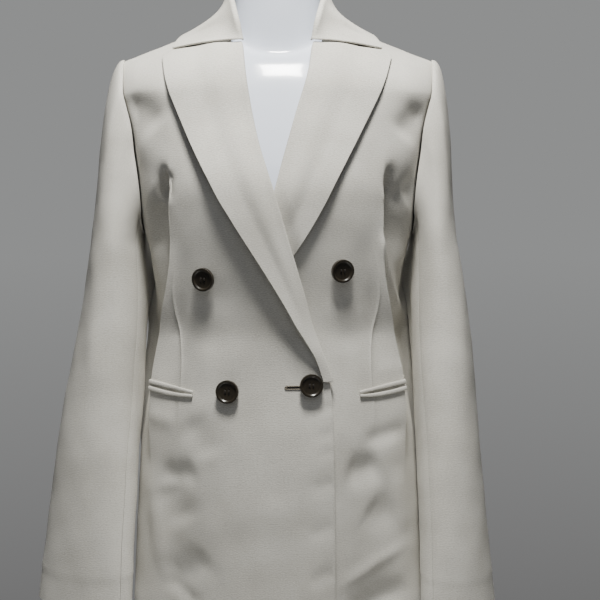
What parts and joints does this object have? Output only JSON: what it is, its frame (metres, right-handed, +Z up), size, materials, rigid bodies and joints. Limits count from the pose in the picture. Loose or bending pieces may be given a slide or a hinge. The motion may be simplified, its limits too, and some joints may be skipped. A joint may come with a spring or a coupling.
{
  "type": "double breasted blazer on dress form",
  "caption": "Double breasted blazer with wide peak lapels, jetted pockets and long wide sleeves, hanging on a limbless torso dress form with a round stand",
  "frame": {"origin": "centre of the stand's round underside, on the floor", "axes": "+Z up along the pole, -Y the way the garment's front faces, +X the viewer's right, which is the wearer's left"},
  "size_m": [0.5216, 0.3, 0.932],
  "materials": {
    "crepe": "fine matt crepe, ivory",
    "horn": "polished dark brown horn look",
    "gloss_white": "gloss lacquer",
    "stand_steel": "satin"
  },
  "bodies": {
    "root": {"front_right": "crepe", "front_left": "crepe", "side_left": "crepe", "side_right": "crepe", "back_left": "crepe", "back_right": "crepe", "lapel_right": "crepe", "lapel_left": "crepe", "collar_fall": "crepe", "collar_stand": "crepe", "top_sleeve_left": "crepe", "under_sleeve_left": "crepe", "top_sleeve_right": "crepe", "under_sleeve_right": "crepe", "pocket_upper_jet_left": "crepe", "pocket_lower_jet_left": "crepe", "pocket_upper_jet_right": "crepe", "pocket_lower_jet_right": "crepe", "button_upper_right": "horn", "button_lower_right": "horn", "button_lower_left": "horn", "button_upper_left": "horn", "dress_form": "gloss_white", "stand_pole": "stand_steel", "stand_base": "stand_steel"}
  },
  "joints": []
}
